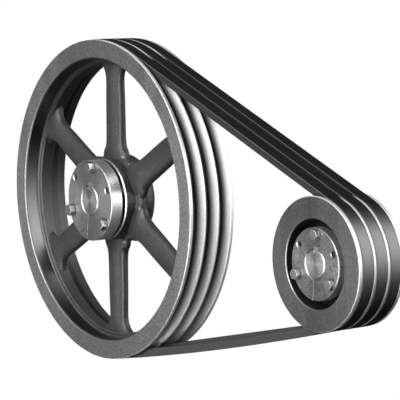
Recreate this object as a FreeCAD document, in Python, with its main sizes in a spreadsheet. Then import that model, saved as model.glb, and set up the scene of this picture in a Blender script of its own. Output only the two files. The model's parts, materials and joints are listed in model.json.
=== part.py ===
import FreeCAD, Part
import math
import os
import Sketcher

# Three-groove classical (B section) V-belt drive: two sheaves on split taper
# bushings, their shafts, keys, cap screws and washers, and three belts.
# The large (driven) sheave turns about the Y axis; +X points along the line of
# centres to the small (driver) sheave; +Z is up.  The front, where the bushing
# flanges are, faces -Y and the shafts leave towards +Y.  The origin lies on the
# large shaft's journal, behind the sheave.  Millimetres and degrees.

# ---------------------------------------------------------------- dimensions
# "big" belongs to the driven side, "small" to the driver side.  Axial places
# are measured backwards from the sheaves' front faces unless noted.
SIZES = dict(
    # layout
    centreDistance=427.2, groovePitch=19.05, faceWidth=63.5, originPlane=66.0,
    bigTurn=-4.9, smallTurn=-1.05,  # turn of each bushing and shaft
    screwCount=3,
    # large sheave rim, with a stiffening ring inside it
    bigOuterDia=400.05, bigGrooveTop=16.51, bigGrooveBottom=6.73,
    bigGrooveDepth=14.2, landBevel=0.35, rimEdgeBevel=0.9,
    rimBoreFront=176.3, rimBoreRear=178.6, rimBoreMid=176.0,
    rimMouthBevel=1.8, ringRadius=170.4, ringFront=20.5, ringRear=38.5,
    ringBevel=1.3,
    # large sheave hub and arms
    bigHubFace=9.3, hubFrontRadius=51.2, hubStep=24.0, hubBandRadius=58.6,
    hubEdge=1.2, hubRear=60.0, hubTailRadius=41.2, bigHubMouth=1.0,
    bigHubCounter=33.4, counterBevel=1.0, seatPast=0.8,
    bigTapDepth=31.0, bigTapRadius=4.0,
    armPlane=30.2, armAngle=94.35, armCount=6,
    # small sheave
    smallOuterDia=146.05, smallGrooveTop=16.18, smallGrooveBottom=7.5,
    smallGrooveDepth=14.2, recessRadius=48.6, recessDepth=25.0,
    recessBevel=0.9, smallHubFace=15.2, smallHubRadius=39.9,
    smallHubEdge=1.0, smallHubMouth=0.8, smallHubCounter=26.0,
    rearRecess=20.0, rearRecessRadius=47.0, rearRecessBevel=1.2,
    smallTapDepth=20.0, smallTapRadius=3.205,
    # bushings; a negative front stands ahead of the sheave's front face
    bigBushFront=-11.2, bigFlangeRadius=50.4, bigFlangeThick=16.4,
    bigBarrelRadius=35.7, bigBushLength=49.2, bigBoreRadius=18.276,
    bigBoltCircle=42.5, bigBoltHole=4.4, bigJackHole=3.97,
    smallBushFront=0.7, smallFlangeRadius=39.6, smallFlangeThick=11.1,
    smallBarrelRadius=27.78, smallBushLength=33.3, smallBoreRadius=15.895,
    smallBoltCircle=32.7, smallBoltHole=3.6, smallJackHole=3.175,
    taperSlope=0.03125, taperClear=0.02, splitWidth=0.4, flangeEdge=0.7,
    boreEdge=1.5, barrelBevel=0.5, jackSink=0.9,
    # shafts and keys
    bigShaftRadius=18.256, bigShaftTail=72.0, bigShoulder=61.0,
    bigJournalRadius=17.4625, bigKeySize=9.5, bigKeyLength=44.0, bigKeyway=9.53,
    smallShaftRadius=15.875, smallShaftTail=88.5, smallShoulder=64.5,
    smallJournalRadius=15.08125, smallKeySize=6.33, smallKeyLength=30.0,
    smallKeyway=6.36,
    shaftBevel=1.0, shoulderBevel=0.4, keyTopGap=0.08, keyLift=0.02, keyBevel=0.35,
    # hexagon cap screws and spring lock washers
    bigScrewRadius=3.96, bigHeadFlats=12.7, bigHeadHigh=5.6,
    bigScrewLength=50.8, bigWasherRadius=7.4, bigWasherBore=4.1,
    bigWasherThick=2.0,
    smallScrewRadius=3.165, smallHeadFlats=11.1, smallHeadHigh=4.2,
    smallScrewLength=31.75, smallWasherRadius=6.2, smallWasherBore=3.3,
    smallWasherThick=1.6,
    screwBevel=1.0, headOverlap=0.5, washerGap=1.4, washerSlant=0.8,
    washerClear=0.02,
    # belts: depths are measured inward from the sheave's outside radius
    beltProud=0.4, beltDeep=9.9, beltHalfTop=8.16, beltHalfBottom=4.79,
    beltCorner=0.9, coverThick=0.9, pitchDepth=4.445,
    cordRadius=0.6, cordPitch=1.5, cordCount=7,
    cushionTop=0.55, cushionBottom=3.78, cushionHalfTop=6.84,
    cushionHalfBottom=5.78,
    coreTop=5.11, coreBottom=8.95, coreHalfTop=5.33, coreHalfBottom=4.08,
    slackArcRadius=5400.0,
    # how far cutting tools run past the material: at ends and edges, radially
    # outward, and into the open bore for the keyway and the split
    cutPast=1.0, outwardPast=2.0, keywayPast=4.0, splitPast=3.0,
)

# rounded rear of the large hub: radius, distance behind the front face
HUB_BACK = [
    (58.0, 34.0), (56.4, 38.0), (55.6, 42.0), (55.0, 46.0), (53.0, 50.0),
    (48.6, 54.0), (44.3, 57.0),
]
# oval arm sections: distance from the axis, half width, half depth along Y
ARM_STATIONS = [
    (50.0, 26.0, 10.2), (64.0, 20.4, 9.7), (86.0, 17.4, 9.2), (140.0, 16.4, 8.8),
    (157.0, 18.0, 8.7), (164.0, 23.0, 8.7), (168.5, 30.0, 8.7), (172.5, 38.0, 8.6),
]
LETTERS = "ABCDEFGH"
for letter, (radius, behind) in zip(LETTERS, HUB_BACK):
    SIZES["hubBackRadius" + letter] = radius
    SIZES["hubBackAt" + letter] = behind
for letter, (radius, half_wide, half_deep) in zip(LETTERS, ARM_STATIONS):
    SIZES["armRadius" + letter] = radius
    SIZES["armWide" + letter] = half_wide
    SIZES["armDeep" + letter] = half_deep

# faceted corner curves: offsets in radius and along +Y from a named corner
RING_REAR_ROOT = [(0, 2.2), (-2.2, 0.3)]
RING_FRONT_ROOT = [(-1.6, -0.2), (0, -1.8)]
HUB_STEP_INNER = [(0.5, -2.2), (1.1, -0.7), (2.6, 0.5)]
HUB_STEP_OUTER = [(-1.6, 2.0), (0, 4.0)]
REAR_RECESS_ROOT = [(-1.6, 2.5), (-4.1, 0)]
RECESS_INNER_ROOT = [(0.6, -1.2), (1.8, 0)]
RECESS_OUTER_ROOT = [(-1.8, 0), (-0.6, -1.2)]

JACK_ANGLE = math.radians(60)     # jack holes either side of the top screw
HEAD_BEVEL = math.radians(30)     # slope of the turned-off head corners
HEAD_FACE_SHARE = 0.48            # flat face radius over the width across flats
AXIS_REACH = 20.0                 # half length of the screws' construction axis
# rounded belt corners, as shares of beltCorner
CORNER_FACET = 0.293              # middle point of an outer corner
CORNER_LOW_RISE = 0.7             # inner corner, up the flank
CORNER_LOW_INSET = 0.5            # inner corner, along the narrow side
# narrowing of the cover's hollow at its wide and narrow sides, per thickness
COVER_TOP_SHARE = 1.38
COVER_BOTTOM_SHARE = 0.72

doc = FreeCAD.newDocument("VBeltDrive")
Vector = FreeCAD.Vector
Constraint = Sketcher.Constraint

sheet = doc.addObject("Spreadsheet::Sheet", "Sizes")
for row, (word, value) in enumerate(SIZES.items(), start=1):
    sheet.set("A%d" % row, word)
    sheet.set("B%d" % row, repr(float(value)))
    sheet.setAlias("B%d" % row, word)
doc.recompute()


class Dim:
    """A number that knows its value now and the expression it comes from."""

    WORK = {"+": float.__add__, "-": float.__sub__,
            "*": float.__mul__, "/": float.__truediv__}

    def __init__(self, value, text):
        self.value = float(value)
        self.text = text

    def _join(self, other, sign, flip=False):
        left, right = self, dim(other)
        if flip:
            left, right = right, left
        return Dim(self.WORK[sign](left.value, right.value),
                   "(%s %s %s)" % (left.text, sign, right.text))

    def __add__(self, other): return self._join(other, "+")
    def __radd__(self, other): return self._join(other, "+", True)
    def __sub__(self, other): return self._join(other, "-")
    def __rsub__(self, other): return self._join(other, "-", True)
    def __mul__(self, other): return self._join(other, "*")
    def __rmul__(self, other): return self._join(other, "*", True)
    def __truediv__(self, other): return self._join(other, "/")
    def __neg__(self): return Dim(-self.value, "(0 - %s)" % self.text)


def size(word):
    """The named cell of the sheet."""
    return Dim(SIZES[word], "Sizes." + word)


def dim(number):
    return number if isinstance(number, Dim) else Dim(number, repr(float(number)))


def is_zero(number):
    return abs(dim(number).value) < 1e-9


half_face = size("faceWidth") / 2
big_radius = size("bigOuterDia") / 2
small_radius = size("smallOuterDia") / 2
AXIS_X = {"big": 0.0, "small": size("centreDistance")}


def from_front(y):
    """Place behind the sheave's front face, as y from the middle of the face."""
    return dim(y) - half_face


# --------------------------------------------------------- bodies and sketches
parts = {}


def new_body(label):
    body = doc.addObject("PartDesign::Body", "Body_" + label)
    body.Label = label
    body.AllowCompound = True
    parts[label] = body
    return body


def origin(body, role):
    return next(item for item in body.Origin.OriginFeatures if item.Role == role)


def new_sketch(body, name, plane, out=0.0, up=0.0, turn=0.0):
    """Sketch moved out along its normal and up along its own y, then turned.

    On XZ_Plane the normal is -Y: pads grow to the front, pockets cut to the back.
    """
    sk = body.newObject("Sketcher::SketchObject", name)
    sk.AttachmentSupport = [(origin(body, plane), "")]
    sk.MapMode = "FlatFace"
    sk.AttachmentOffset = FreeCAD.Placement(
        Vector(0, dim(up).value, dim(out).value),
        FreeCAD.Rotation(Vector(0, 0, 1), dim(turn).value))
    for path, number in (("Base.y", up), ("Base.z", out), ("Rotation.Angle", turn)):
        if not is_zero(number):
            sk.setExpression("AttachmentOffset." + path, dim(number).text)
    return sk


def bind(sk, number, *constraint):
    """Add a dimensional constraint bound to the sheet."""
    number = dim(number)
    index = sk.addConstraint(Constraint(*constraint, number.value))
    sk.setExpression("Constraints[%d]" % index, number.text)


def pin_point(sk, geo, pos, x, y):
    """Hold one point of a sketch at (x, y)."""
    for kind, number, axis in (("DistanceX", x, -2), ("DistanceY", y, -1)):
        if is_zero(number):
            sk.addConstraint(Constraint("PointOnObject", geo, pos, axis))
        else:
            bind(sk, number, kind, -1, 1, geo, pos)


def outline(sk, points):
    """Closed polygon through the given points."""
    count = len(points)
    corners = [Vector(dim(x).value, dim(y).value, 0) for x, y in points]
    for i in range(count):
        sk.addGeometry(Part.LineSegment(corners[i], corners[(i + 1) % count]), False)
    for i in range(count):
        sk.addConstraint(Constraint("Coincident", i, 2, (i + 1) % count, 1))
    for i in range(count):
        pin_point(sk, i, 1, *points[i])


def around_corner(x, y, offsets):
    return [(x + right, y + up) for right, up in offsets]


def ring(sk, x, y, radius):
    centre = Vector(dim(x).value, dim(y).value, 0)
    circle = Part.Circle(centre, Vector(0, 0, 1), radius.value)
    geo = sk.addGeometry(circle, False)
    pin_point(sk, geo, 3, x, y)
    bind(sk, radius, "Radius", geo)


def oval(sk, half_x, half_y):
    """Ellipse centred on the sketch origin, long axis along x."""
    ellipse = Part.Ellipse(Vector(0, 0, 0), half_x.value, half_y.value)
    geo = sk.addGeometry(ellipse, False)
    sk.exposeInternalGeometry(geo)
    sk.addConstraint(Constraint("Coincident", geo, 3, -1, 1))
    sk.addConstraint(Constraint("Horizontal", geo + 1))
    bind(sk, 2 * half_x, "Distance", geo + 1)
    bind(sk, 2 * half_y, "Distance", geo + 2)


# -------------------------------------------------------------------- features
def spin(body, name, sk, kind="Revolution", axis="V_Axis"):
    feature = body.newObject("PartDesign::" + kind, name)
    feature.Profile = sk
    feature.ReferenceAxis = (sk, [axis])
    feature.Angle = 360.0
    return feature


def extrude(body, name, sk, length, reverse=False, kind="Pad"):
    feature = body.newObject("PartDesign::" + kind, name)
    feature.Profile = sk
    feature.Length = length.value
    feature.setExpression("Length", length.text)
    feature.Reversed = reverse
    return feature


def current_volume(body):
    doc.recompute()
    return body.Shape.Volume


def check_cut(body, before):
    """Stop if the latest cut removed nothing."""
    if not current_volume(body) < before - 1e-3:
        raise RuntimeError("%s of %s removed nothing" % (body.Tip.Name, body.Label))


def pocket(body, name, sk, depth, reverse=False, taper=0.0):
    before = current_volume(body)
    feature = extrude(body, name, sk, depth, reverse, "Pocket")
    feature.TaperAngle = taper
    check_cut(body, before)
    return feature


def around(body, name, features, count):
    """Repeat features evenly about the body's Y axis."""
    pattern = body.newObject("PartDesign::PolarPattern", name)
    pattern.Originals = features
    pattern.Axis = (origin(body, "Y_Axis"), [""])
    pattern.Angle = 360.0
    pattern.Occurrences = int(round(count.value))
    pattern.setExpression("Occurrences", count.text)
    body.Tip = pattern
    doc.recompute()


def place(body, x=0.0, y=0.0, turn=0.0):
    """Move to (x, y), y from mid face, and turn counter-clockwise seen from -Y."""
    x, turn = dim(x), dim(turn)
    y = dim(y) + (half_face - size("originPlane"))
    body.Placement = FreeCAD.Placement(
        Vector(x.value, y.value, 0), FreeCAD.Rotation(Vector(0, -1, 0), turn.value))
    for path, number in (("Base.x", x), ("Base.y", y), ("Rotation.Angle", turn)):
        if not is_zero(number):
            body.setExpression("Placement." + path, number.text)


def place_at_bushing(body, tag):
    """Put local y = 0 on the front face of the bushing's flange."""
    place(body, AXIS_X[tag], from_front(size(tag + "BushFront")), size(tag + "Turn"))


# --------------------------------------------------------------------- sheaves
def taper_radius(tag, along):
    """Barrel radius of a bushing at a distance behind its flange's front face:
    3/4 inch per foot on diameter."""
    behind_flange = along - size(tag + "FlangeThick")
    return size(tag + "BarrelRadius") - behind_flange * size("taperSlope")


def hub_bore_radius(tag, y_front):
    """Hub bore radius at a distance behind the sheave's front face."""
    return taper_radius(tag, y_front - size(tag + "BushFront")) + size("taperClear")


def seat_end(tag):
    """Rear end of the hub's tapered bore, a little behind the bushing."""
    return size(tag + "BushFront") + size(tag + "BushLength") + size("seatPast")


def groove_points(tag):
    """Outside of a three-groove rim, front to back."""
    outer = size(tag + "OuterDia") / 2
    half_top = size(tag + "GrooveTop") / 2
    half_bottom = size(tag + "GrooveBottom") / 2
    floor = outer - size(tag + "GrooveDepth")
    bevel, edge = size("landBevel"), size("rimEdgeBevel")
    points = [(outer - edge, -half_face), (outer, edge - half_face)]
    for row in (-1, 0, 1):
        middle = size("groovePitch") * row
        points += [
            (outer, middle - half_top - bevel), (outer - bevel, middle - half_top),
            (floor, middle - half_bottom), (floor, middle + half_bottom),
            (outer - bevel, middle + half_top), (outer, middle + half_top + bevel)]
    return points + [(outer, half_face - edge), (outer - edge, half_face)]


def tap_holes(body, tag, turn=0.0):
    """Holes for the cap screws, cut from the hub face."""
    prefix = tag.capitalize() + "Tap"
    sk = new_sketch(body, prefix + "Sketch", "XZ_Plane",
                    out=-from_front(size(tag + "HubFace")), turn=turn)
    ring(sk, 0, size(tag + "BoltCircle"), size(tag + "TapRadius"))
    hole = pocket(body, prefix, sk, size(tag + "TapDepth"))
    around(body, prefix + "s", [hole], size("screwCount"))


def big_rim(body):
    """Grooved rim with an inner stiffening ring."""
    mouth, bevel = size("rimMouthBevel"), size("ringBevel")
    bore_front, bore_mid = size("rimBoreFront"), size("rimBoreMid")
    bore_rear, inner = size("rimBoreRear"), size("ringRadius")
    front, rear = from_front(size("ringFront")), from_front(size("ringRear"))
    sk = new_sketch(body, "BigRimOutline", "XY_Plane")
    outline(sk, groove_points("big") + [
        (bore_rear + mouth, half_face),
        (bore_rear, half_face - mouth),
        *around_corner(bore_mid, rear, RING_REAR_ROOT),
        (inner + bevel, rear),
        (inner, rear - bevel),
        (inner, front + bevel),
        (inner + bevel, front),
        *around_corner(bore_mid, front, RING_FRONT_ROOT),
        (bore_front, mouth - half_face),
        (bore_front + mouth, -half_face),
    ])
    spin(body, "BigRim", sk)


def hub_back_points():
    """Rounded rear of the large hub, with extra points on a smooth curve."""
    back = [(size("hubBackRadius" + letter), from_front(size("hubBackAt" + letter)))
            for letter in LETTERS[:len(HUB_BACK)]]
    back.append((size("hubTailRadius"), from_front(size("hubRear")) - size("hubEdge")))
    points = []
    for i, (radius, y) in enumerate(back):
        points.append((radius, y))
        if 0 < i < len(back) - 2:
            # midpoint of the cubic through the four nearest radii: weights 9/16, -1/16
            near = radius + back[i + 1][0]
            far = back[i - 1][0] + back[i + 2][0]
            points.append((near * 0.5625 - far * 0.0625, (y + back[i + 1][1]) * 0.5))
    return points


def big_hub(body):
    """Hub bored with the bushing's taper and counterbored from the rear."""
    edge, mouth, bevel = size("hubEdge"), size("bigHubMouth"), size("counterBevel")
    face, rear = from_front(size("bigHubFace")), from_front(size("hubRear"))
    front_radius, counter = size("hubFrontRadius"), size("bigHubCounter")
    step = from_front(size("hubStep"))
    bore = hub_bore_radius("big", size("bigHubFace") + mouth)
    end = seat_end("big")
    sk = new_sketch(body, "BigHubOutline", "XY_Plane")
    outline(sk, [
        (bore + mouth, face),
        (front_radius - edge, face),
        (front_radius, face + edge),
        *around_corner(front_radius, step, HUB_STEP_INNER),
        *around_corner(size("hubBandRadius"), step, HUB_STEP_OUTER),
        *hub_back_points(),
        (size("hubTailRadius") - edge, rear),
        (counter + bevel, rear),
        (counter, rear - bevel),
        (counter, from_front(end)),
        (hub_bore_radius("big", end), from_front(end)),
        (bore, face + mouth),
    ])
    spin(body, "BigHub", sk)
    doc.recompute()


def big_arms(body):
    """Oval arms, lofted upward from hub to rim and repeated about the axis."""
    sections = []
    for i, letter in enumerate(LETTERS[:len(ARM_STATIONS)]):
        sk = new_sketch(body, "ArmSection%d" % i, "XY_Plane",
                        out=size("armRadius" + letter), up=from_front(size("armPlane")))
        oval(sk, size("armWide" + letter), size("armDeep" + letter))
        sections.append(sk)
    doc.recompute()
    arm = body.newObject("PartDesign::AdditiveLoft", "Arm")
    arm.Profile = sections[0]
    arm.Sections = sections[1:]
    arm.Ruled = False
    doc.recompute()
    around(body, "Arms", [arm], size("armCount"))


def driven_sheave():
    body = new_body("driven_sheave")
    arm_turn = size("armAngle") - 90
    big_rim(body)
    big_hub(body)
    big_arms(body)
    # the body turns with its arms, but the holes must sit under the bushing's
    tap_holes(body, "big", turn=size("bigTurn") - arm_turn)
    place(body, turn=arm_turn)


def driver_sheave():
    """Small solid sheave, recessed round its hub in front and behind it at the rear."""
    body = new_body("driver_sheave")
    mouth, edge, bevel = size("smallHubMouth"), size("smallHubEdge"), size("counterBevel")
    hub, counter = size("smallHubRadius"), size("smallHubCounter")
    face, recess = from_front(size("smallHubFace")), from_front(size("recessDepth"))
    recess_radius, recess_bevel = size("recessRadius"), size("recessBevel")
    rear_radius, rear_bevel = size("rearRecessRadius"), size("rearRecessBevel")
    rear_floor = half_face - size("rearRecess")
    bore = hub_bore_radius("small", size("smallHubFace") + mouth)
    end = seat_end("small")
    sk = new_sketch(body, "SmallOutline", "XY_Plane")
    outline(sk, groove_points("small") + [
        (rear_radius + rear_bevel, half_face),
        (rear_radius, half_face - rear_bevel),
        *around_corner(rear_radius, rear_floor, REAR_RECESS_ROOT),
        (counter + bevel, rear_floor),
        (counter, rear_floor - bevel),
        (counter, from_front(end)),
        (hub_bore_radius("small", end), from_front(end)),
        (bore, face + mouth),
        (bore + mouth, face),
        (hub - edge, face),
        (hub, face + edge),
        *around_corner(hub, recess, RECESS_INNER_ROOT),
        *around_corner(recess_radius, recess, RECESS_OUTER_ROOT),
        (recess_radius, recess_bevel - half_face),
        (recess_radius + recess_bevel, -half_face),
    ])
    spin(body, "SmallBlank", sk)
    tap_holes(body, "small")
    place(body, size("centreDistance"), 0, size("smallTurn"))


# ------------------------------------------------------ split taper bushings
def bushing(label, tag):
    """Flanged taper bushing, split on the side opposite the keyway."""
    body = new_body(label)
    flange, thick = size(tag + "FlangeRadius"), size(tag + "FlangeThick")
    length, bore = size(tag + "BushLength"), size(tag + "BoreRadius")
    circle, jack = size(tag + "BoltCircle"), size(tag + "JackHole")
    edge, mouth, bevel = size("flangeEdge"), size("boreEdge"), size("barrelBevel")
    past = size("cutPast")
    end_radius = taper_radius(tag, length - bevel)

    sk = new_sketch(body, tag + "BushOutline", "XY_Plane")
    outline(sk, [
        (bore + mouth, 0), (flange - edge, 0), (flange, edge),
        (flange, thick - edge), (flange - edge, thick),
        (taper_radius(tag, thick), thick),
        (end_radius, length - bevel), (end_radius - bevel, length),
        (bore + edge, length), (bore, length - edge), (bore, mouth)])
    spin(body, tag + "BushBlank", sk)

    sk = new_sketch(body, tag + "BoltSketch", "XZ_Plane")
    ring(sk, 0, circle, size(tag + "BoltHole"))
    hole = pocket(body, tag + "BoltHole", sk, thick + past)
    around(body, tag + "BoltHoles", [hole], size("screwCount"))

    # two jack-screw holes; the taper narrows their mouths inward at 45 degrees
    sink = size("jackSink")
    for name, sketch_name, radius, depth, taper in (
            ("JackHoles", "JackSketch", jack, thick + past, 0.0),
            ("JackMouths", "JackMouthSketch", jack + sink, sink, -45.0)):
        sk = new_sketch(body, tag + sketch_name, "XZ_Plane")
        for side in (-1, 1):
            ring(sk, circle * (side * math.sin(JACK_ANGLE)),
                 circle * math.cos(JACK_ANGLE), radius)
        pocket(body, tag + name, sk, depth, taper=taper)

    # keyway at the top of the bore, saw cut at the bottom
    half_key, half_split = size(tag + "Keyway") / 2, size("splitWidth") / 2
    key_low, key_high = bore - size("keywayPast"), bore + half_key
    sk = new_sketch(body, tag + "KeywaySketch", "XZ_Plane")
    outline(sk, [(-half_key, key_low), (half_key, key_low),
                 (half_key, key_high), (-half_key, key_high)])
    pocket(body, tag + "Keyway", sk, length + past)
    split_high, split_low = size("splitPast") - bore, -flange - size("outwardPast")
    sk = new_sketch(body, tag + "SplitSketch", "XZ_Plane")
    outline(sk, [(-half_split, split_high), (-half_split, split_low),
                 (half_split, split_low), (half_split, split_high)])
    pocket(body, tag + "Split", sk, length + past)
    place_at_bushing(body, tag)


# ------------------------------------------------------------ shafts and keys
def shaft(label, tag):
    """Shaft stepped down to a journal behind the sheave, with a key seat on top."""
    body = new_body(label)
    radius, journal = size(tag + "ShaftRadius"), size(tag + "JournalRadius")
    bevel, step_bevel = size("shaftBevel"), size("shoulderBevel")
    shoulder = size(tag + "Shoulder") - size(tag + "BushFront")
    tail = size(tag + "ShaftTail") - size(tag + "BushFront")
    sk = new_sketch(body, tag + "ShaftOutline", "XY_Plane")
    outline(sk, [
        (0, 0), (radius - bevel, 0), (radius, bevel),
        (radius, shoulder - step_bevel), (radius - step_bevel, shoulder),
        (journal, shoulder), (journal, tail - bevel), (journal - bevel, tail),
        (0, tail)])
    spin(body, tag + "ShaftBlank", sk)

    half = size(tag + "Keyway") / 2
    low, high = radius - half, radius + size("outwardPast")
    sk = new_sketch(body, tag + "SeatSketch", "XZ_Plane")
    outline(sk, [(-half, low), (half, low), (half, high), (-half, high)])
    pocket(body, tag + "KeySeat", sk, size(tag + "KeyLength") + size("cutPast"))
    place_at_bushing(body, tag)


def key(label, tag):
    """Square key with its four long edges bevelled."""
    body = new_body(label)
    width = size(tag + "KeySize")
    half = width / 2
    low = size(tag + "ShaftRadius") - size(tag + "Keyway") / 2 + size("keyLift")
    high = low + width - size("keyTopGap")
    sk = new_sketch(body, tag + "KeySketch", "XZ_Plane")
    outline(sk, [(-half, low), (half, low), (half, high), (-half, high)])
    bar = extrude(body, tag + "KeyBar", sk, size(tag + "KeyLength"), reverse=True)
    doc.recompute()
    long_edges = []
    for i, edge in enumerate(bar.Shape.Edges, start=1):
        start, end = edge.Vertexes[0].Point, edge.Vertexes[-1].Point
        if abs(start.x - end.x) < 1e-6 and abs(start.z - end.z) < 1e-6:
            long_edges.append("Edge%d" % i)
    chamfer = body.newObject("PartDesign::Chamfer", tag + "KeyEdges")
    chamfer.Base = (bar, long_edges)
    chamfer.Size = size("keyBevel").value
    chamfer.setExpression("Size", size("keyBevel").text)
    doc.recompute()
    place_at_bushing(body, tag)


# ------------------------------------------- cap screws and spring lock washers
def screw_axis(sk, height):
    """Construction line along the screw's own axis, used as Axis0."""
    line = Part.LineSegment(Vector(-AXIS_REACH, height.value, 0),
                            Vector(AXIS_REACH, height.value, 0))
    geo = sk.addGeometry(line, True)
    sk.addConstraint(Constraint("Horizontal", geo))
    pin_point(sk, geo, 1, -AXIS_REACH, height)
    sk.addConstraint(Constraint("DistanceX", -1, 1, geo, 2, AXIS_REACH))


def cap_screws(label, tag):
    """Hexagon-head screws; the washers stand between the flange and the heads."""
    body = new_body(label)
    circle, washer = size(tag + "BoltCircle"), size(tag + "WasherThick")
    flats, high = size(tag + "HeadFlats"), size(tag + "HeadHigh")
    past = size("cutPast")
    corner = flats * (1 / math.sqrt(3.0))

    sk = new_sketch(body, tag + "HeadSketch", "XZ_Plane", out=washer)
    hexagon = []
    for i in range(6):
        angle = math.radians(60 * i)
        hexagon.append((corner * round(math.cos(angle), 12),
                        circle + corner * round(math.sin(angle), 12)))
    outline(sk, hexagon)
    head = extrude(body, tag + "Head", sk, high)
    doc.recompute()

    # shank with a bevelled end, starting inside the head
    bevel = size("screwBevel")
    root, end = -washer - size("headOverlap"), size(tag + "ScrewLength") - washer
    surface = circle + size(tag + "ScrewRadius")
    sk = new_sketch(body, tag + "ShankSketch", "YZ_Plane")
    outline(sk, [(root, circle), (root, surface), (end - bevel, surface),
                 (end, surface - bevel), (end, circle)])
    screw_axis(sk, circle)
    shank = spin(body, tag + "Shank", sk, axis="Axis0")

    # corners of the head turned off
    before = current_volume(body)
    top = -washer - high
    reach, outside = flats * HEAD_FACE_SHARE, corner + past
    drop = (outside - reach) * math.tan(HEAD_BEVEL)
    sk = new_sketch(body, tag + "CornerSketch", "YZ_Plane")
    outline(sk, [(top - past, circle + reach), (top, circle + reach),
                 (top + drop, circle + outside), (top - past, circle + outside)])
    screw_axis(sk, circle)
    corners = spin(body, tag + "Corners", sk, "Groove", "Axis0")
    check_cut(body, before)
    around(body, tag + "Screws", [head, shank, corners], size("screwCount"))
    place_at_bushing(body, tag)


def lock_washers(label, tag):
    """Flat rings in front of the flange, each with a slanting slit on its -X side."""
    body = new_body(label)
    circle, thick = size(tag + "BoltCircle"), size(tag + "WasherThick")
    outer, bore = size(tag + "WasherRadius"), size(tag + "WasherBore")
    past, slant, half_gap = size("cutPast"), size("washerSlant"), size("washerGap") / 2
    sk = new_sketch(body, tag + "WasherSketch", "XZ_Plane")
    ring(sk, 0, circle, outer)
    ring(sk, 0, circle, bore)
    blank = extrude(body, tag + "WasherBlank", sk, thick - size("washerClear"))
    doc.recompute()
    sk = new_sketch(body, tag + "WasherSlit", "XZ_Plane")
    outline(sk, [(-outer - past, circle - half_gap),
                 (past - bore, circle - half_gap - slant),
                 (past - bore, circle + half_gap - slant),
                 (-outer - past, circle + half_gap)])
    slit = pocket(body, tag + "WasherSplit", sk, thick + past, reverse=True)
    around(body, tag + "Washers", [blank, slit], size("screwCount"))
    place_at_bushing(body, tag)


# ---------------------------------------------------------------------- belts
def belt_path(body, name, slack=None):
    """Closed loop round both sheaves at the pitch line: an arc on each sheave,
    a taut upper strand, and a lower strand that is straight, or hangs as a
    shallow arc when slack is its radius.  It starts at the far left (-X)."""
    sk = new_sketch(body, name, "XZ_Plane")
    big, small = big_radius - size("pitchDepth"), small_radius - size("pitchDepth")
    distance = size("centreDistance")
    # direction from each sheave's centre to the upper tangent points
    lean = math.acos((big.value - small.value) / distance.value)
    upper = Vector(math.cos(lean), math.sin(lean), 0)
    big_centre, small_centre = Vector(0, 0, 0), Vector(distance.value, 0, 0)
    if slack is None:
        lower_big = lower_small = Vector(math.cos(lean), -math.sin(lean), 0)
    else:
        # the hanging arc encloses and touches both circles
        to_big, to_small = slack.value - big.value, slack.value - small.value
        x = (to_big ** 2 - to_small ** 2 + distance.value ** 2) / (2 * distance.value)
        arc_centre = Vector(x, math.sqrt(to_big ** 2 - x ** 2), 0)
        lower_big = (big_centre - arc_centre).normalize()
        lower_small = (small_centre - arc_centre).normalize()
    angle_big = math.atan2(lower_big.y, lower_big.x)
    angle_small = math.atan2(lower_small.y, lower_small.x)

    def add_arc(centre, radius, start, end):
        circle = Part.Circle(centre, Vector(0, 0, 1), radius.value)
        return sk.addGeometry(Part.ArcOfCircle(circle, start, end), False)

    def add_line(start, end):
        return sk.addGeometry(Part.LineSegment(start, end), False)

    big_top = add_arc(big_centre, big, lean, math.pi)
    taut = add_line(upper * big.value, small_centre + upper * small.value)
    small_arc = add_arc(small_centre, small, angle_small, lean)
    # which end of the lower strand meets the small and the large sheave
    if slack is None:
        lower = add_line(small_centre + lower_small * small.value,
                         big_centre + lower_big * big.value)
        small_end, big_end = 1, 2
    else:
        lower = add_arc(arc_centre, slack, angle_big, angle_small)
        small_end, big_end = 2, 1
    big_low = add_arc(big_centre, big, math.pi, 2 * math.pi + angle_big)

    sk.addConstraint(Constraint("Coincident", big_top, 3, -1, 1))
    sk.addConstraint(Constraint("Coincident", big_low, 3, -1, 1))
    sk.addConstraint(Constraint("PointOnObject", small_arc, 3, -1))
    bind(sk, distance, "DistanceX", -1, 1, small_arc, 3)
    for ends in ((big_top, 1, taut, 1), (taut, 2, small_arc, 2),
                 (small_arc, 1, lower, small_end), (lower, big_end, big_low, 2)):
        sk.addConstraint(Constraint("Tangent", *ends))
    sk.addConstraint(Constraint("Coincident", big_top, 2, big_low, 1))
    sk.addConstraint(Constraint("PointOnObject", big_top, 2, -1))
    bind(sk, big, "Radius", big_top)
    bind(sk, small, "Radius", small_arc)
    if slack is not None:
        bind(sk, slack, "Radius", lower)
    return sk


def sweep(body, name, profile, path, kind="AdditivePipe"):
    feature = body.newObject("PartDesign::" + kind, name)
    feature.Profile = profile
    feature.Spine = (path, ["Edge%d" % (i + 1) for i in range(5)])
    feature.Mode = "Standard"
    return feature


def section(body, name, top_depth, bottom_depth, half_top, half_bottom, corner=None):
    """Trapezium at the far left (-X) of the loop, wide side outward; with
    corner given, its four corners are faceted."""
    sk = new_sketch(body, name, "XY_Plane")
    outer, inner = top_depth - big_radius, bottom_depth - big_radius
    if corner is None:
        outline(sk, [(outer, -half_top), (outer, half_top),
                     (inner, half_bottom), (inner, -half_bottom)])
        return sk
    slope = (half_top - half_bottom) / (bottom_depth - top_depth)
    facet, rise = corner * CORNER_FACET, corner * CORNER_LOW_RISE
    flank = [
        (outer, half_top - corner),
        (outer + facet, half_top - facet - slope * facet),
        (outer + corner, half_top - slope * corner),
        (inner - rise, half_bottom + slope * rise),
        (inner, half_bottom - corner * CORNER_LOW_INSET),
    ]
    outline(sk, [(x, -y) for x, y in reversed(flank)] + flank)
    return sk


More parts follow.
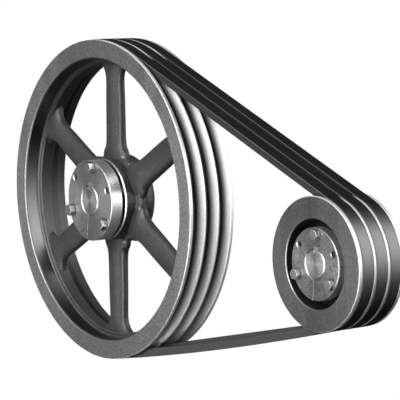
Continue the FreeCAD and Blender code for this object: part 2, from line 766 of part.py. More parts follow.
def belt_cover(tag, label, y, slack):
    """Hollow jacket round the belt."""
    body = new_body(label + "_cover")
    path = belt_path(body, tag + "CoverPath", slack)
    proud, deep, thick = size("beltProud"), size("beltDeep"), size("coverThick")
    half_top, half_bottom = size("beltHalfTop"), size("beltHalfBottom")
    outside = section(body, tag + "CoverOuter", -proud, deep, half_top, half_bottom,
                      size("beltCorner"))
    sweep(body, tag + "Jacket", outside, path)
    before = current_volume(body)
    inside = section(body, tag + "CoverInner", thick - proud, deep - thick,
                     half_top - thick * COVER_TOP_SHARE,
                     half_bottom - thick * COVER_BOTTOM_SHARE)
    sweep(body, tag + "Hollow", inside, path, "SubtractivePipe")
    check_cut(body, before)
    place(body, 0, y)


def belt_filling(tag, label, y, slack, layer):
    """Rubber layer: the cushion lies outside the cords, the core inside them."""
    body = new_body(label + "_" + layer)
    prefix = tag + "_" + layer
    path = belt_path(body, prefix + "Path", slack)
    sk = section(body, prefix + "Section", size(layer + "Top"), size(layer + "Bottom"),
                 size(layer + "HalfTop"), size(layer + "HalfBottom"))
    sweep(body, prefix + "Loop", sk, path)
    doc.recompute()
    place(body, 0, y)


def belt_cords(tag, label, y, slack):
    """Row of load cords side by side at the pitch line."""
    body = new_body(label + "_cords")
    path = belt_path(body, tag + "CordsPath", slack)
    count = size("cordCount")
    row_width = (count - 1) * size("cordPitch")
    sk = new_sketch(body, tag + "CordSection", "XY_Plane")
    ring(sk, size("pitchDepth") - big_radius, -row_width / 2, size("cordRadius"))
    cord = sweep(body, tag + "Cord", sk, path)
    doc.recompute()
    pattern = body.newObject("PartDesign::LinearPattern", tag + "CordRow")
    pattern.Originals = [cord]
    pattern.Direction = (origin(body, "Y_Axis"), [""])
    pattern.Length = row_width.value
    pattern.setExpression("Length", row_width.text)
    pattern.Occurrences = int(count.value)
    pattern.setExpression("Occurrences", count.text)
    body.Tip = pattern
    doc.recompute()
    place(body, 0, y)


def belt(tag, label, row, slack=None):
    y = size("groovePitch") * row
    belt_cover(tag, label, y, slack)
    belt_filling(tag, label, y, slack, "cushion")
    belt_filling(tag, label, y, slack, "core")
    belt_cords(tag, label, y, slack)


# -------------------------------------------------------------------- assembly
driven_sheave()
driver_sheave()
for tag, role in (("big", "driven"), ("small", "driver")):
    bushing(role + "_bushing", tag)
    shaft(role + "_shaft", tag)
    key(role + "_shaft_key", tag)
    cap_screws(role + "_bushing_cap_screws", tag)
    lock_washers(role + "_bushing_lock_washers", tag)

# only the front belt hangs slack on its lower strand
belt("F", "front_belt", -1, size("slackArcRadius"))
belt("M", "middle_belt", 0)
belt("R", "rear_belt", 1)

# ----------------------------------------------------------- checks and export
doc.recompute()
for item in doc.Objects:
    if "Invalid" in item.State or "Error" in item.State:
        raise RuntimeError("%s (%s) failed: %s" % (item.Name, item.Label, item.State))
for label, body in parts.items():
    shape = body.Shape
    if shape.isNull() or not shape.isValid() or not shape.Solids:
        raise RuntimeError(label + " has no valid shape")

os.makedirs("parts", exist_ok=True)
for label, body in parts.items():
    body.Shape.exportStep("parts/%s.step" % label)
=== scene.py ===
"""Belt drive with three V-belts: a large driven sheave and, on its +x side, a small driver sheave.

Metres, +Z up. Both shafts lie along y and the front of the drive faces -y. The CAD
pieces get procedural materials, each belt cover is replaced by a detailed jacket, and
the drive stands in a white studio.
"""
import json
import math
import bmesh
import bpy
from mathutils import Matrix, Vector


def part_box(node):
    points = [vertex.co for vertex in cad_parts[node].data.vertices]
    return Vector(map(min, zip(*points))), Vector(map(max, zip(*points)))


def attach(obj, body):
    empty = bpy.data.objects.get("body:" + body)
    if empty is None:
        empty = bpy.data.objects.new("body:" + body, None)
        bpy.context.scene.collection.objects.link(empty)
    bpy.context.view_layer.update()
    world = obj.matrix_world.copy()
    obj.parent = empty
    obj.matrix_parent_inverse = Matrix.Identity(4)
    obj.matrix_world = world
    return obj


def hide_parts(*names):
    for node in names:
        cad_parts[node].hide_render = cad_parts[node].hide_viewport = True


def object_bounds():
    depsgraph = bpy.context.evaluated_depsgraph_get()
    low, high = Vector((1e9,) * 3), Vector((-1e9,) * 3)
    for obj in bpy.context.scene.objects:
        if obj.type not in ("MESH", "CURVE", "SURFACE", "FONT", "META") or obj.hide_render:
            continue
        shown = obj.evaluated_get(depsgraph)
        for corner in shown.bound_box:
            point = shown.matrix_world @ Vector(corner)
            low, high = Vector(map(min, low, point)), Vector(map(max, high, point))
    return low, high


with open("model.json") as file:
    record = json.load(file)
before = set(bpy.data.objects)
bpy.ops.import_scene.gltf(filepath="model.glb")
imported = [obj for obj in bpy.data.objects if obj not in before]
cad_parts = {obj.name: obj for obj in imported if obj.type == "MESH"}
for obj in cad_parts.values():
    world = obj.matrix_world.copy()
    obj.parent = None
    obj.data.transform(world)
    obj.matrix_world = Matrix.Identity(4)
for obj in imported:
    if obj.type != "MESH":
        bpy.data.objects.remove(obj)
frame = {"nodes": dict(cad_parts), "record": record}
cad_lo, cad_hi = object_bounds()
scene = bpy.context.scene
scene.view_settings.view_transform = "Standard"
scene.view_settings.look = "None"
scene.view_settings.exposure = 0.0
scene.view_settings.gamma = 1.0

# ------------------------------------------------------------- dimensions
joint_x = {joint["name"]: joint["pos_m"][0] for joint in frame["record"]["behaviour"]["joints"]}
DRIVEN_X = joint_x["driven_spin"]
DRIVER_X = joint_x["driver_spin"]
SHEAVE_LO, SHEAVE_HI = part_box("driven_sheave")
MID = (SHEAVE_LO.y + SHEAVE_HI.y) / 2         # y at the middle of the face width
FACE = (SHEAVE_HI.y - SHEAVE_LO.y) / 2        # half the face width
BIG_R = SHEAVE_HI.x - DRIVEN_X
SMALL_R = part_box("driver_sheave")[1].x - DRIVER_X

GROOVE_DEPTH = 0.0142
DRIVEN_RIM_R = 0.1763          # inner radius of the machined end faces
DRIVER_RIM_R = 0.0486

# Driven sheave features. Every y is measured from MID.
HUB_R = 0.0535                 # machined front end of the hub
HUB_FRONT = 0.0205             # the machining starts this far in front of MID
BORE_R = 0.1760                # inside of the rim
RING_R = 0.1704                # ring at the back of the turned part of that bore
RING_Y = 0.0205 - FACE
STEP_R = 0.0586                # shoulder on the hub
STEP_Y = 0.0240 - FACE

# Belt section. Depths are measured from the outer radius of the sheaves.
PITCH_DEPTH = 0.004445
BACK_PROUD = 0.0004            # the belt's back stands this far outside the sheave
UNDERSIDE_DEPTH = 0.0099
HALF_BACK = 0.00816            # half widths before the corners are rounded
HALF_UNDERSIDE = 0.00479
BACK_CORNER_R = 0.0010
LOW_CORNER_R = 0.0009
FLANK_HOLLOW = 0.00010
SLACK_R = 5.4                  # arc of the slack lower run, at the pitch line

COAT_IOR = 1.62
END_FACE = (0.6, 0.8)          # |normal y| over which a round surface becomes an end face


# ------------------------------------------------------------ node shorthand
class Value:
    """A node output with arithmetic. On masks from 0 to 1, & | ~ mean and, or, not."""

    def __init__(self, net, socket):
        self.net = net
        self.socket = socket

    def __add__(self, other):
        return self.net.calc("ADD", self, other)

    def __radd__(self, other):
        return self.net.calc("ADD", other, self)

    def __sub__(self, other):
        return self.net.calc("SUBTRACT", self, other)

    def __rsub__(self, other):
        return self.net.calc("SUBTRACT", other, self)

    def __mul__(self, other):
        return self.net.calc("MULTIPLY", self, other)

    def __truediv__(self, other):
        return self.net.calc("DIVIDE", self, other)

    def __and__(self, other):
        return self.net.calc("MINIMUM", self, other)

    def __or__(self, other):
        return self.net.calc("MAXIMUM", self, other)

    def __invert__(self):
        return 1.0 - self

    def __abs__(self):
        return self.net.calc("ABSOLUTE", self)

    def at_least(self, low):
        return self.net.calc("MAXIMUM", self, low)

    def step(self, low, high):
        """0 below low, 1 above high, smooth between."""
        return self.net.value("MapRange", [self, low, high, 0.0, 1.0],
                              interpolation_type="SMOOTHSTEP")

    def band(self, rise_from, rise_to, fall_from, fall_to):
        """1 between a smooth rise and a smooth fall."""
        return self.step(rise_from, rise_to) & ~self.step(fall_from, fall_to)

    def mix(self, off, on):
        """off where this mask is 0, on where it is 1."""
        return self.net.value("Mix", {0: self, 2: off, 3: on}, data_type="FLOAT")


class Net:
    """The node tree of one material or world."""

    def __init__(self, owner):
        owner.use_nodes = True
        self.tree = owner.node_tree
        self.tree.nodes.clear()

    def add(self, kind, inputs=(), **props):
        """A node; inputs is a list in socket order or a dict by socket. None is skipped."""
        node = self.tree.nodes.new("ShaderNode" + kind)
        for name, setting in props.items():
            setattr(node, name, setting)
        pairs = inputs.items() if isinstance(inputs, dict) else enumerate(inputs)
        for key, given in pairs:
            if isinstance(given, Value):
                self.tree.links.new(given.socket, node.inputs[key])
            elif given is not None:
                node.inputs[key].default_value = given
        return node

    def value(self, kind, inputs=(), output=0, **props):
        return Value(self, self.add(kind, inputs, **props).outputs[output])

    def calc(self, operation, *operands):
        return self.value("Math", operands, operation=operation)

    def grey(self, tone):
        return self.value("CombineColor", [tone] * 3)

    def vec(self, x, y, z):
        return self.value("CombineXYZ", [x, y, z])

    def split(self, vector):
        return [Value(self, socket) for socket in self.add("SeparateXYZ", [vector]).outputs]

    def noise(self, vector, scale, detail=3.0, roughness=0.55):
        return self.value("TexNoise", {"Vector": vector, "Scale": scale, "Detail": detail,
                                       "Roughness": roughness}, noise_dimensions="3D")

    def bump(self, height, strength, distance, normal=None):
        return self.value("Bump", {"Strength": strength, "Distance": distance,
                                   "Height": height, "Normal": normal})


def recess_shade(net, distance, darkest):
    """1 in the open, falling to darkest in recesses: painted shade."""
    openness = net.value("AmbientOcclusion", {"Distance": distance}, output="AO", samples=8)
    return openness.step(0.25, 0.85).mix(darkest, 1.0)


def edge_wear_and_highlight(net, radius):
    """(mask along sharp edges for wear and a painted highlight, normal rounded over them)."""
    rounded = net.value("Bevel", {"Radius": radius}, samples=6)
    true_normal = net.value("NewGeometry", output="Normal")
    agreement = net.value("VectorMath", [rounded, true_normal], output="Value",
                          operation="DOT_PRODUCT")
    return ~agreement.step(0.86, 0.985), rounded


def shaft_coords(net, centre_x):
    """Position, x, y and z from the shaft centre, radius, and |normal y|."""
    coords = net.add("TexCoord")
    position = Value(net, coords.outputs["Object"])
    x, y, z = net.split(position)
    x = x - centre_x
    y = y - MID
    radius = net.calc("SQRT", x * x + z * z)
    normal_y = net.split(Value(net, coords.outputs["Normal"]))[1]
    return position, x, y, z, radius, abs(normal_y)


def turning_marks(net, radius, y, facing, pitch=0.00042):
    """Rings on end faces, hoops on round surfaces."""
    along = facing.step(*END_FACE).mix(y, radius)
    fine = net.noise(net.vec(along * (1.0 / pitch), 0.0, 0.0), scale=1.0, detail=2.0)
    broad = net.noise(net.vec(along * 260.0, 3.0, 0.0), scale=1.0, detail=3.0)
    return fine * 0.6 + broad * 0.4


def across_marks(net, x, z, radius, facing):
    """Direction across the turning marks, the way they spread a highlight:
    outward on end faces, along the shaft on round surfaces."""
    safe = radius.at_least(1e-5)
    end = facing.step(*END_FACE)
    return net.vec(end * (x / safe), ~end, end * (z / safe))


def surface(net, tone, metal, roughness, normal, specular=0.5, anisotropy=None, tangent=None,
            coat=None, coat_roughness=None):
    bsdf = net.value("BsdfPrincipled", {
        "Base Color": net.grey(tone),
        "Metallic": metal,
        "Roughness": roughness,
        "Normal": normal,
        "Specular IOR Level": specular,
        "Anisotropic": anisotropy,
        "Tangent": tangent,
        "Coat Weight": coat,
        "Coat Roughness": coat_roughness,
        "Coat IOR": None if coat is None else COAT_IOR,
    })
    net.add("OutputMaterial", [bsdf])


def material(name):
    made = bpy.data.materials.new(name)
    return made, Net(made)


# ------------------------------------------------------------------ sheaves
def dish_masks(y, radius, facing, rim_r):
    """Masks on the driven sheave: front of the rim bore, painted highlight on the hub
    shoulder, and painted shadow in the corner behind the ring."""
    front_bore = (radius.step(BORE_R - 0.0016, BORE_R - 0.0006)
                  & (~y.step(RING_Y - 0.0004, RING_Y) & ~facing.step(0.5, 0.8))
                  & ~radius.step(rim_r + 0.004, rim_r + 0.006))
    shoulder_highlight = (radius.band(STEP_R - 0.0022, STEP_R - 0.0016, STEP_R + 0.0002, STEP_R + 0.0006)
                & facing.band(0.50, 0.60, 0.84, 0.92)
                & ~abs(y - STEP_Y).step(0.0014, 0.0020))
    # painted shadow: the band of rim bore just behind the ring, where the ring shades it
    corner = (y.band(RING_Y + 0.0179, RING_Y + 0.0181, RING_Y + 0.0275, RING_Y + 0.0315)
              & radius.band(RING_R - 0.0004, RING_R, BORE_R + 0.004, BORE_R + 0.005))
    return front_bore, shoulder_highlight, corner


def sheave_material(name, centre_x, outer_r, rim_r, dished=False, brightness=1.0):
    """Grey iron: dark and grainy as cast, bright where the lathe has cut it.
    dished adds the hub and bore details of the driven sheave."""
    made, net = material(name)
    position, x, y, z, radius, facing = shaft_coords(net, centre_x)

    # where each finish lies
    depth = abs(y)
    groove_floor = outer_r - GROOVE_DEPTH
    face = depth.step(FACE - 0.0012, FACE - 0.0003) & radius.step(rim_r - 0.002, rim_r - 0.001)
    grooves = (radius.step(groove_floor - 0.0006, groove_floor + 0.0002)
               & ~depth.step(FACE - 0.0006, FACE - 0.0001))
    land = radius.step(outer_r - 0.0012, outer_r - 0.0003)
    cut = face & ~grooves
    if dished:
        hub = (y * -1.0).step(HUB_FRONT - 0.0006, HUB_FRONT) & ~radius.step(HUB_R, HUB_R + 0.001)
        front_bore, shoulder_highlight, corner = dish_masks(y, radius, facing, rim_r)
        cut = (cut | hub) * ~front_bore

    # textures
    edge, round_normal = edge_wear_and_highlight(net, radius=0.0009)
    grain = net.noise(position, scale=900.0, detail=4.0, roughness=0.62)
    speck = net.noise(position, scale=480.0, detail=4.0, roughness=0.8) - 0.5
    mottle = net.noise(position, scale=38.0, detail=4.0, roughness=0.6)
    pits = net.noise(position, scale=420.0, detail=2.0).step(0.62, 0.74)
    marks = turning_marks(net, radius, y, facing)
    haze = net.noise(net.vec(x * 60.0, y * 60.0, z * 9.0), scale=1.0, detail=4.0)

    # tone: a base level plus the weight of each texture
    cast_tone = mottle * 0.045 + (0.016 + grain * 0.03) + speck * 0.16 - pits * 0.026
    cast_tone = cast_tone.at_least(0.012)
    cut_tone = 0.27 * brightness + (marks * 0.12 + haze * 0.10) + speck * (1.1 * brightness)
    # painted light and shade on the groove walls: bright near the top, nearly black towards the
    # bottom
    groove_painted_light = ~(outer_r - radius).step(0.0025, GROOVE_DEPTH - 0.0006)
    groove_tone = 0.03 + groove_painted_light * (0.90 + speck * 0.6)
    tone = cut.mix(cast_tone, cut_tone)
    # painted shade in the recesses of the cast iron
    tone = tone * cut.mix(recess_shade(net, distance=0.045, darkest=0.24), 1.0)
    if dished:
        # the front of the bore is turned but dull, the corner behind the ring gets a nearly
        # black painted shadow, the shoulder an even light grey painted highlight
        tone = front_bore.mix(tone, 0.11 + speck * 0.12)
        tone = tone * (1.0 - corner * 0.93)
        tone = shoulder_highlight.mix(tone, 0.34)
    tone = grooves.mix(tone, groove_tone)
    # edges are rubbed clean and carry a painted highlight, most of all on the rim lands, brighter
    # on cut iron
    rubbed_edge_highlight = edge * land.mix(0.75, 0.9)
    tone = rubbed_edge_highlight.mix(tone, (cut | grooves).mix(0.24, 0.62))

    # metallic: full on cut faces, about half on grooves and rubbed edges
    metal = cut.mix(0.12, 1.0)
    if dished:
        metal = metal | front_bore
    metal = grooves.mix(metal, 0.40)
    metal = (rubbed_edge_highlight * (cut | grooves)).mix(metal, 0.45)

    # roughness: cut iron is the smoothest
    roughness = cut.mix(0.44 + mottle * 0.20, 0.26 + (haze * 0.14 + marks * 0.05))
    if dished:
        roughness = front_bore.mix(roughness, 0.36)
    roughness = (grooves | rubbed_edge_highlight).mix(roughness, 0.46)

    # relief: strong casting grain, faint turning marks
    height = cut.mix(grain + mottle * 0.7, marks + speck * 0.5)
    normal = net.bump(height, strength=cut.mix(0.60, 0.14), distance=0.00035,
                      normal=round_normal)
    # an oily coat on cast iron only
    surface(net, tone, metal, roughness, normal,
            anisotropy=cut * 0.30, tangent=across_marks(net, x, z, radius, facing),
            specular=(cut | grooves).mix(0.14, 0.5),
            coat=~(cut | grooves) * 0.26, coat_roughness=0.28)
    return made


# ------------------------------------------------- bushings, shafts, hardware
def turned_material(name, centre_x, light, smoothest, anisotropy, streak=0.10, rim_r=1.0):
    """Turned steel. light is the base tone, smoothest the least roughness, streak the
    weight of the haze. Edges outside rim_r are worn and carry a painted highlight; the default
    lies beyond every part."""
    made, net = material(name)
    position, x, y, z, radius, facing = shaft_coords(net, centre_x)
    marks = turning_marks(net, radius, y, facing, pitch=0.0005)
    haze = net.noise(net.vec(x * 90.0, y * 90.0, z * 12.0), scale=1.0, detail=4.0)
    smut = net.noise(position, scale=70.0, detail=5.0, roughness=0.65).step(0.46, 0.70)
    speck = net.noise(position, scale=620.0, detail=3.0, roughness=0.75) - 0.5
    edge, round_normal = edge_wear_and_highlight(net, radius=0.0007)
    edge = edge * radius.step(rim_r - 0.0016, rim_r - 0.0010)
    barrel = ~facing.step(0.5, 0.8)

    # tone: base level and texture weights, with painted shade in recesses
    tone = light + (marks * 0.12 + haze * streak) - smut * 0.12 + speck * 0.80
    tone = tone * recess_shade(net, distance=0.008, darkest=0.35)
    tone = tone * barrel.mix(1.0, 1.8)        # the round is brushed bright
    # worn edges with a painted highlight
    tone = (edge * 0.8).mix(tone, 0.75)
    # roughness: haze, smut and the round add to it, worn edges are even
    roughness = smoothest + (haze * 0.12 + smut * 0.08)
    roughness = edge.mix(roughness + barrel * 0.09, 0.50)
    normal = net.bump(marks + speck * 0.5, strength=0.14, distance=0.0003, normal=round_normal)
    surface(net, tone, metal=1.0 - edge * 0.4, roughness=roughness, normal=normal,
            anisotropy=anisotropy, tangent=across_marks(net, x, z, radius, facing))
    return made


def steel_material(name, light, smoothest):
    """Drawn or plated steel: fine relief and broad mottling, no preferred direction."""
    made, net = material(name)
    position = net.value("TexCoord", output="Object")
    fine = net.noise(position, scale=500.0)
    broad = net.noise(position, scale=100.0)
    edge, round_normal = edge_wear_and_highlight(net, radius=0.0005)
    # tone: mottled base, worn edges with a painted highlight, painted shade in recesses
    tone = light + (broad - 0.5) * 0.30
    tone = (edge * 0.7).mix(tone, 0.85) * recess_shade(net, distance=0.004, darkest=0.4)
    surface(net, tone, metal=1.0 - edge * 0.4, roughness=smoothest + fine * 0.14,
            normal=net.bump(fine, strength=0.14, distance=0.0002, normal=round_normal))
    return made


# ---------------------------------------------------------- belt materials
def cloth_material(name):
    """Rubbered cloth, laid on the bias and polished by the grooves. UV is in
    metres: u round the loop, v round the section."""
    made, net = material(name)
    along, girth, _ = net.split(net.value("UVMap", uv_map="belt"))
    thread = 2 * math.pi / 0.0013             # phase per metre; the weave repeats at 1.3 mm
    warp = net.calc("SINE", (along + girth) * thread)
    weft = net.calc("SINE", (along - girth) * thread)
    crossing = warp * weft
    weave = abs(warp) * 0.5 + abs(weft) * 0.5 + crossing * 0.35
    flat = net.vec(along, girth, 0.0)
    wear = net.noise(flat, scale=55.0, detail=4.0)
    lint = net.noise(flat, scale=620.0, detail=3.0, roughness=0.7).step(0.50, 0.74)
    normal_y = net.split(net.value("TexCoord", output="Normal"))[1]
    flank = abs(normal_y).step(0.62, 0.86)

    # tone: near-black cloth, pale lint, lighter and lintier on the flanks
    tone = (0.004 + (weave * 0.006 + wear * 0.007)
            + lint * flank.mix(0.045, 0.10) + flank * 0.038)
    # painted shade in the recesses between and under the belts
    tone = tone * recess_shade(net, distance=0.006, darkest=0.35)
    # roughness: base level and texture weights
    roughness = 0.36 + (wear * 0.16 + weave * 0.05)
    normal = net.bump(weave + wear * 0.5, strength=0.40, distance=0.00018)
    # cloth scatters at a glancing angle where smooth rubber would mirror
    tilt = net.value("LayerWeight", {"Blend": 0.5}, output="Facing")
    glancing = tilt.step(0.28, 0.58)
    surface(net, tone, metal=0.0, roughness=roughness, normal=normal,
            coat=glancing.mix(1.0, 0.02), coat_roughness=0.36,
            specular=glancing.mix(0.4, 0.04))
    return made


def plain_material(name, light, smoothest, scale):
    """Even grey with one noise in its tone, roughness and relief."""
    made, net = material(name)
    grain = net.noise(net.value("TexCoord", output="Object"), scale=scale)
    surface(net, tone=light + grain * (light * 0.5), metal=0.0,
            roughness=smoothest + grain * 0.1,
            normal=net.bump(grain, strength=0.3, distance=0.0002))
    return made


# -------------------------------------------------------------- belt jackets
def loop_points(slack):
    """(point, outward direction) along the pitch line, in the x-z plane."""
    big = BIG_R - PITCH_DEPTH
    small = SMALL_R - PITCH_DEPTH
    driven = Vector((DRIVEN_X, 0.0))
    driver = Vector((DRIVER_X, 0.0))
    spacing = (driver - driven).length
    lean = math.acos((big - small) / spacing)
    if slack:
        # centre, above the shafts, of the arc that touches both pitch circles from below
        reach_big = SLACK_R - big
        reach_small = SLACK_R - small
        offset = (reach_big ** 2 - reach_small ** 2 + spacing ** 2) / (2 * spacing)
        sag_centre = driven + Vector((offset, math.sqrt(reach_big ** 2 - offset ** 2)))
        low_driven = (driven - sag_centre).normalized()
        low_driver = (driver - sag_centre).normalized()
    else:
        low_driven = low_driver = Vector((math.cos(lean), -math.sin(lean)))
    driven_angle = math.atan2(low_driven.y, low_driven.x)
    driver_angle = math.atan2(low_driver.y, low_driver.x)
    points = []

    def arc(centre, radius, start, end, count):
        for i in range(count):
            angle = start + (end - start) * i / count
            outward = Vector((math.cos(angle), math.sin(angle)))
            points.append((centre + outward * radius, outward))

    def straight(start, end, outward, count=60):
        for i in range(count):
            points.append((start.lerp(end, i / count), outward))

    arc(driven, big, 2 * math.pi + driven_angle, lean, 220)
    up = Vector((math.cos(lean), math.sin(lean)))
    straight(driven + up * big, driver + up * small, up)
    arc(driver, small, lean, driver_angle, 90)
    if slack:
        arc(sag_centre, SLACK_R, driver_angle, driven_angle, 60)
    else:
        straight(driver + low_driver * small, driven + low_driven * big, low_driven)
    return points


def section_points():
    """Belt section as (outward, across) from the pitch line: flat back and underside,
    rounded corners, slightly hollow flanks."""
    top = PITCH_DEPTH + BACK_PROUD
    low = PITCH_DEPTH - UNDERSIDE_DEPTH
    slope = math.atan2(HALF_BACK - HALF_UNDERSIDE, top - low)
    flank_angle = math.pi / 2 + slope         # flank normal, measured from outward

    def corner(outward, across, radius, start, end, count):
        angles = [start + (end - start) * i / count for i in range(count + 1)]
        return [(outward + radius * math.cos(angle), across + radius * math.sin(angle))
                for angle in angles]

    # corner centres lie one radius inside both neighbouring faces
    back_y = HALF_BACK - math.tan(slope) * BACK_CORNER_R - BACK_CORNER_R / math.cos(slope)
    low_y = HALF_UNDERSIDE + math.tan(slope) * LOW_CORNER_R - LOW_CORNER_R / math.cos(slope)
    side = corner(top - BACK_CORNER_R, back_y, BACK_CORNER_R, 0.0, flank_angle, 6)
    low_corner = corner(low + LOW_CORNER_R, low_y, LOW_CORNER_R, flank_angle, math.pi, 5)
    flank_top, flank_low = side[-1], low_corner[0]
    for i in range(1, 8):
        part = i / 8
        dip = FLANK_HOLLOW * math.sin(math.pi * part)
        side.append((flank_top[0] + (flank_low[0] - flank_top[0]) * part,
                     flank_top[1] + (flank_low[1] - flank_top[1]) * part - dip))
    side += low_corner
    underside = [(low, low_y * (2 * i / 4 - 1)) for i in range(3, 0, -1)]
    other_side = [(outward, -across) for outward, across in reversed(side)]
    back = [(top, back_y * (1 - 2 * i / 8)) for i in range(7, 0, -1)]
    return side + underside + other_side + back


def add_belt_uvs(mesh, path, section):
    """UV in metres: u round the loop, v round the section."""
    run = [0.0]
    for i in range(len(path)):
        run.append(run[-1] + (path[(i + 1) % len(path)][0] - path[i][0]).length)
    girth = [0.0]
    for i in range(len(section)):
        here, after = section[i], section[(i + 1) % len(section)]
        girth.append(girth[-1] + math.hypot(here[0] - after[0], here[1] - after[1]))
    layer = mesh.uv_layers.new(name="belt")
    for face in mesh.polygons:
        i, j = divmod(face.index, len(section))
        corners = ((run[i], girth[j]), (run[i], girth[j + 1]),
                   (run[i + 1], girth[j + 1]), (run[i + 1], girth[j]))
        for loop, uv in zip(face.loop_indices, corners):
            layer.data[loop].uv = uv


def make_belt(tag, slack):
    """Sweep the section round the loop, in place of the CAD cover."""
    node = tag + "_belt_cover"
    name = tag + "_belt_jacket"
    lo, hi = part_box(node)
    middle = (lo.y + hi.y) / 2
    path, section = loop_points(slack), section_points()
    rings, sides = len(path), len(section)
    verts, faces = [], []
    for point, direction in path:
        for outward, across in section:
            spot = point + direction * outward
            verts.append((spot.x, middle + across, spot.y))
    for i in range(rings):
        here, after = i * sides, (i + 1) % rings * sides
        for j in range(sides):
            k = (j + 1) % sides
            faces.append((here + j, here + k, after + k, after + j))
    mesh = bpy.data.meshes.new(name)
    mesh.from_pydata(verts, [], faces)
    add_belt_uvs(mesh, path, section)
    for face in mesh.polygons:
        face.use_smooth = True
    mesh.validate()
    work = bmesh.new()
    work.from_mesh(mesh)
    bmesh.ops.recalc_face_normals(work, faces=work.faces)
    work.to_mesh(mesh)
    work.free()
    belt = bpy.data.objects.new(name, mesh)
    scene.collection.objects.link(belt)
    belt.data.materials.append(MATERIALS["belt"])
    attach(belt, "belts")
    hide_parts(node)


# ------------------------------------------------------- assign materials
SHAFT_FINISH = dict(light=0.44, smoothest=0.26, anisotropy=0.60, streak=0.06)
BUSHING_FINISH = dict(smoothest=0.30, anisotropy=0.45)
MATERIALS = {
    "driven_sheave": sheave_material("driven iron", DRIVEN_X, BIG_R, DRIVEN_RIM_R, dished=True),
    "driver_sheave": sheave_material("driver iron", DRIVER_X, SMALL_R, DRIVER_RIM_R,
                                     brightness=0.34),
    "driven_bushing": turned_material("driven bushing", DRIVEN_X, light=0.285, rim_r=0.0504,
                                      **BUSHING_FINISH),
    "driver_bushing": turned_material("driver bushing", DRIVER_X, light=0.19, rim_r=0.0396,
                                      **BUSHING_FINISH),
    "driven_shaft": turned_material("driven shaft", DRIVEN_X, **SHAFT_FINISH),
    "driver_shaft": turned_material("driver shaft", DRIVER_X, **SHAFT_FINISH),
    "screws": steel_material("plain steel screws", light=0.34, smoothest=0.30),
    "washers": steel_material("oiled spring steel", light=0.22, smoothest=0.32),
    "keys": steel_material("key steel", light=0.50, smoothest=0.26),
    "belt": cloth_material("belt cloth"),
    "rubber": plain_material("belt rubber", light=0.035, smoothest=0.6, scale=600.0),
    "cord": plain_material("belt cord", light=0.40, smoothest=0.7, scale=1400.0),
}
# end of a piece's name: its material
ENDINGS = {"cap_screws": "screws", "lock_washers": "washers", "_key": "keys", "_cover": "belt",
           "_cushion": "rubber", "_core": "rubber", "_cords": "cord"}


def material_for(name):
    if name in MATERIALS:
        return MATERIALS[name]
    for ending, key in ENDINGS.items():
        if name.endswith(ending):
            return MATERIALS[key]
    raise RuntimeError("no material for " + name)


for name, piece in frame["nodes"].items():
    finish = material_for(name)
    if not piece.material_slots:
        piece.data.materials.append(finish)
    for slot in piece.material_slots:
        slot.material = finish

for tag, slack in (("front", True), ("middle", False), ("rear", False)):
    make_belt(tag, slack)

# ------------------------------------------------------------------ floor
WHITE = (1, 1, 1, 1)
FLOOR_GAP = 0.002


def floor_material():
    """White to the camera, dark grey to every other ray."""
    made, net = material("floor paper")
    paper = net.value("BsdfDiffuse", {"Color": (0.07, 0.07, 0.07, 1)})
    glow = net.value("Emission", {"Color": WHITE, "Strength": 1.0})
    seen = net.value("LightPath", output="Is Camera Ray")
    net.add("OutputMaterial", [net.value("MixShader", [seen, paper, glow])])
    return made


bpy.ops.mesh.primitive_plane_add(size=60.0, location=(0.2, 0.0, cad_lo.z - FLOOR_GAP))
floor = bpy.context.object
floor.name = "floor"
floor.data.materials.append(floor_material())
floor.visible_diffuse = False                 # the soft boxes light the drive from below as well
floor.visible_glossy = False

# ----------------------------------------------------------------- studio
# Soft boxes painted on the sky, in degrees: azimuth (0 is +x, -90 the front), half width,
# soft edge; elevation, half height, soft edge; brightness.
MIRROR_PANELS = [                             # seen by glossy rays only
    (44, 34, 22, 32, 54, 46, 5.6),            # turned rounds and the rim bore
    (-104, 36, 22, -8, 46, 26, 1.6),          # front
    (-150, 30, 20, -8, 44, 34, 0.15),         # front faces
    (-166, 20, 14, 38, 12, 9, 1.2),           # upper front edges
    (-54, 11, 7, 2, 50, 24, 14.0),            # narrow strip: rounded shoulders
    (-144, 24, 14, 64, 16, 12, 1.4),          # shaft ends
    (100, 24, 16, 4, 30, 20, 0.5),            # far side
]
KEY_HIGH = (-80, 26, 16, 30, 26, 16, 8.6)     # main soft box, front and high
KEY_LOW = (-104, 26, 14, -24, 20, 12, 1.5)    # front and low
FAR_FILL = (112, 34, 20, 6, 34, 20, 2.6)      # far side, hidden from glossy rays
MIRROR_BASE = 0.03                            # even light in reflections
SPREAD_BASE = 0.09                            # even light on matt surfaces
SPREAD_TOP = 0.10                             # added to it towards the zenith


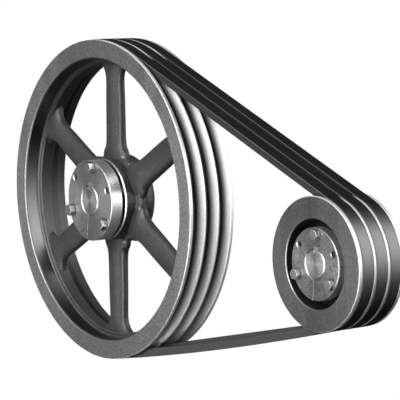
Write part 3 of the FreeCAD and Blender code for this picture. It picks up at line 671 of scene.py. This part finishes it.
def build_world():
    world = bpy.data.worlds.new("studio")
    scene.world = world
    net = Net(world)
    x, y, z = net.split(net.value("TexCoord", output="Generated"))
    azimuth = net.calc("ARCTAN2", y, x)
    elevation = net.calc("ARCSINE", z)

    def window(offset, half, soft):
        return ~offset.step(math.radians(half - soft), math.radians(half))

    def panel(turn, half_width, soft_width, rise, half_height, soft_height, power):
        aside = abs(net.calc("WRAP", azimuth - math.radians(turn), math.pi, -math.pi))
        above = abs(elevation - math.radians(rise))
        return (window(aside, half_width, soft_width)
                * window(above, half_height, soft_height) * power)

    mirror = MIRROR_BASE
    for row in MIRROR_PANELS:
        mirror = mirror + panel(*row)
    key = panel(*KEY_HIGH) + panel(*KEY_LOW)
    spread = SPREAD_BASE + z.at_least(0.0) * SPREAD_TOP + panel(*FAR_FILL)
    glossy = net.value("LightPath", output="Is Glossy Ray")
    light = net.grey(key + glossy.mix(spread, mirror))
    studio = net.value("Background", {"Color": light, "Strength": 1.0})
    backdrop = net.value("Background", {"Color": WHITE})
    seen = net.value("LightPath", output="Is Camera Ray")
    net.add("OutputWorld", [net.value("MixShader", [seen, studio, backdrop])])


def add_fill_light():
    """Weak square lamp, front left and high, aimed at the drive."""
    place = Vector((-0.9, MID - 1.9, 1.5))
    target = Vector((0.1, MID, 0.0))
    lamp = bpy.data.lights.new("fill", "AREA")
    lamp.shape = "SQUARE"
    lamp.size = 0.9
    lamp.energy = 7.0
    holder = bpy.data.objects.new("fill", lamp)
    scene.collection.objects.link(holder)
    holder.location = place
    holder.rotation_mode = "QUATERNION"
    holder.rotation_quaternion = (target - place).to_track_quat("-Z", "Y")


def add_camera():
    """Long lens from the front right, a little above the drive."""
    lens = bpy.data.cameras.new("camera")
    lens.sensor_width = 36.0
    lens.lens = 162.63217
    lens.clip_start = 0.05
    lens.clip_end = 100.0
    camera = bpy.data.objects.new("camera", lens)
    scene.collection.objects.link(camera)
    right = Vector((0.5857114, 0.8098566, 0.0327782))
    up = Vector((-0.1607309, 0.0764172, 0.9840356))
    back = Vector((0.7944229, -0.5816294, 0.1749275))
    pose = Matrix((right, up, back)).transposed().to_4x4()
    pose.translation = Vector((1.871048, MID - 1.24226, 0.399462))
    camera.matrix_world = pose
    scene.camera = camera


build_world()
add_fill_light()
add_camera()
